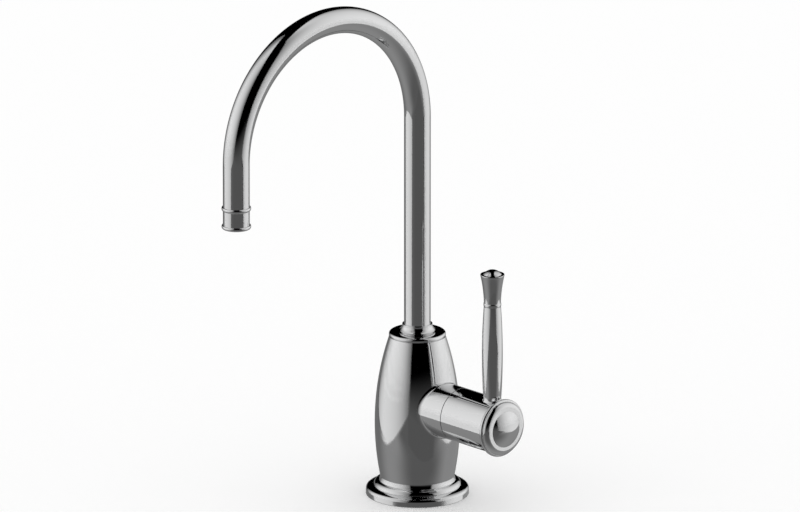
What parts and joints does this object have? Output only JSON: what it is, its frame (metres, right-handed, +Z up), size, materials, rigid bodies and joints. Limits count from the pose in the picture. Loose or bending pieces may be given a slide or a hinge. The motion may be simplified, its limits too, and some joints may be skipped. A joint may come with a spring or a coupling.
{
  "type": "filter kitchen tap",
  "caption": "Deck-mounted filtered-water tap: bellied barrel on a stepped round foot, swan-neck swivel spout, and a side arm whose upright lever works a quarter-turn ceramic valve.",
  "frame": {"origin": "centre of the foot's underside, on the barrel's axis", "axes": "+Z up the barrel, the spout towards -Y, the valve arm towards +X"},
  "size_m": [0.0884, 0.1484, 0.2519],
  "materials": {
    "polished_chrome": "bright chrome plate on brass",
    "turned_brass": "fine turned",
    "black_rubber": "matt moulded",
    "white_ceramic": "lapped alumina ceramic",
    "grey_acetal": "moulded acetal",
    "stainless_steel": "bright stainless"
  },
  "bodies": {
    "body": {"barrel_body": "polished_chrome", "base_flange": "polished_chrome", "base_gasket": "black_rubber", "valve_housing": "polished_chrome", "housing_seal": "black_rubber", "cartridge_body": "turned_brass", "cartridge_seat_seal": "black_rubber", "fixed_ceramic_disc": "white_ceramic", "hub_glide_ring": "grey_acetal", "spout_gland_ring": "polished_chrome", "swivel_bush": "grey_acetal"},
    "spout": {"spout_tube": "polished_chrome", "spout_collar": "polished_chrome", "spout_insert": "turned_brass", "spout_o_ring_upper": "black_rubber", "spout_o_ring_lower": "black_rubber", "spout_tip": "polished_chrome", "flow_straightener": "grey_acetal", "outlet_washer": "black_rubber"},
    "lever": {"lever_hub": "polished_chrome", "hub_cap": "polished_chrome", "cap_button": "polished_chrome", "hub_screw": "stainless_steel", "hub_screw_washer": "stainless_steel", "valve_spindle": "turned_brass", "moving_ceramic_disc": "white_ceramic", "spindle_o_ring_inner": "black_rubber", "spindle_o_ring_outer": "black_rubber", "spindle_circlip": "stainless_steel", "lever_stem": "polished_chrome", "lever_finial": "polished_chrome"}
  },
  "joints": [
    {"name": "spout_swivel", "type": "hinge", "parent": "body", "child": "spout", "pos_m": [0, 0, 0.08], "axis": [0, 0, 1], "continuous": true},
    {"name": "lever_turn", "type": "hinge", "parent": "body", "child": "lever", "pos_m": [0, 0, 0.04565], "axis": [1, 0, 0], "range_deg": [0, 90]}
  ]
}
